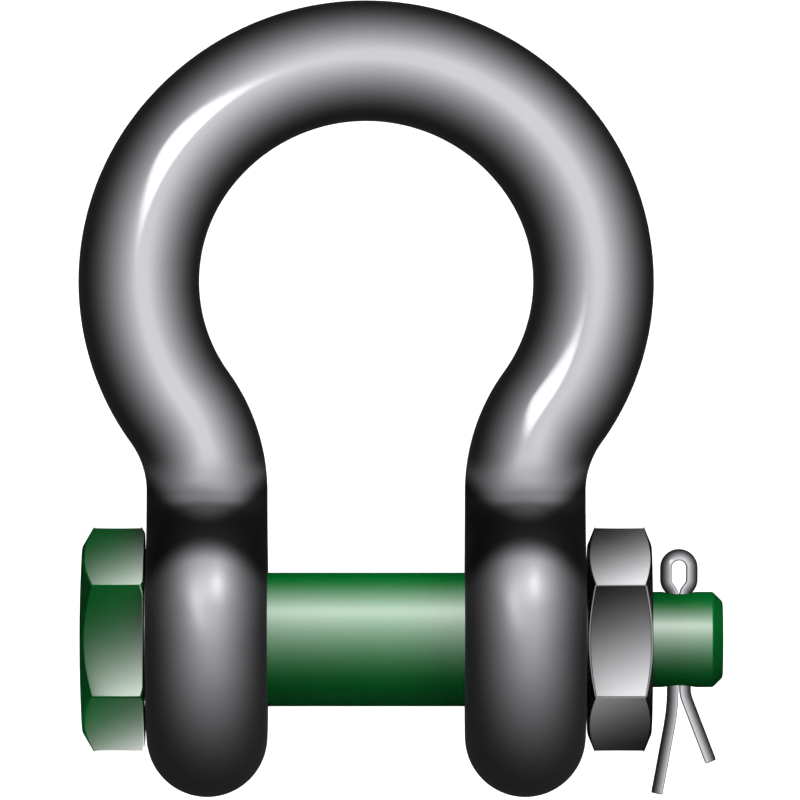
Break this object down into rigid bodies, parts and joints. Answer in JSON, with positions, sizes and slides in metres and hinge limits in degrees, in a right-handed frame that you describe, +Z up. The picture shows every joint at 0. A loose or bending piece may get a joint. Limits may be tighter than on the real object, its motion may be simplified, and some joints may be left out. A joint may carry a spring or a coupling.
{
  "type": "bow shackle",
  "caption": "Lifting bow shackle with a forged bow, a hexagon-headed safety bolt, a thin nut and a split cotter pin.",
  "frame": {"origin": "centre of the shackle's box on the floor that it lies on", "axes": "+X along the bolt towards its point and the cotter pin, +Y from the bolt towards the crown along the floor, +Z up"},
  "size_m": [0.1368, 0.1676, 0.067],
  "materials": {
    "forged_steel": "smooth dark forging under a clear gloss",
    "painted_bolt": "gloss green paint",
    "plated_nut": "bright plated steel",
    "cotter_wire": "drawn half-round wire"
  },
  "bodies": {
    "bow": {"bow": "forged_steel"},
    "bolt": {"bolt": "painted_bolt", "cotter_pin": "cotter_wire"},
    "nut": {"nut": "plated_nut"}
  },
  "joints": [
    {"name": "bolt_turn", "type": "hinge", "parent": "bow", "child": "bolt", "pos_m": [-0.00745, -0.05028, 0.0335], "axis": [1, 0, 0], "continuous": true},
    {"name": "nut_turn", "type": "hinge", "parent": "bolt", "child": "nut", "pos_m": [0.04635, -0.05028, 0.0335], "axis": [1, 0, 0], "range_deg": [0, 165]}
  ]
}
